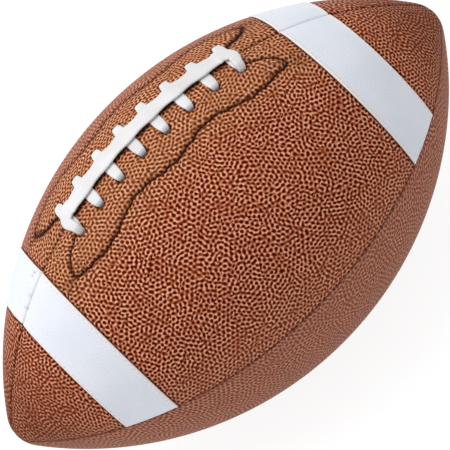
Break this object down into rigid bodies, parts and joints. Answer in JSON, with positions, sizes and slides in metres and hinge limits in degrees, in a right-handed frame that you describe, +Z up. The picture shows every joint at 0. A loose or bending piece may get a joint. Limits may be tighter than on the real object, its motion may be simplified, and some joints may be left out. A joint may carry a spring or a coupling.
{
  "type": "american football",
  "caption": "Pointed oval ball of pebbled leather-like panels with raised white lacing along one seam and a white stripe near each tip.",
  "frame": {"origin": "the point under the ball's middle where it lies on the ground with its laces up", "axes": "+X along the ball from tip to tip, +Z up through the lace seam, -Y towards the front panels"},
  "size_m": [0.2668, 0.1494, 0.1529],
  "materials": {
    "cover": "pebbled, satin",
    "lining": "plain weave cotton",
    "thread": "waxed",
    "facing": "coated cloth",
    "tongue": "felt",
    "lace": "satin coated lace",
    "stripe": "smooth, satin",
    "bladder": "satin",
    "valve": "satin",
    "valve_core": "satin"
  },
  "bodies": {
    "root": {"front_lace_panel": "cover", "back_lace_panel": "cover", "front_lower_panel": "cover", "back_lower_panel": "cover", "front_lace_lining": "lining", "back_lace_lining": "lining", "front_lower_lining": "lining", "back_lower_lining": "lining", "lace_seam_thread": "thread", "front_seam_thread": "thread", "back_seam_thread": "thread", "bottom_seam_thread": "thread", "front_lace_facing": "facing", "back_lace_facing": "facing", "lace_tongue": "tongue", "lace": "lace", "front_left_stripe": "stripe", "front_right_stripe": "stripe", "back_left_stripe": "stripe", "back_right_stripe": "stripe", "bladder": "bladder", "valve_housing": "valve", "valve_core": "valve_core"}
  },
  "joints": []
}
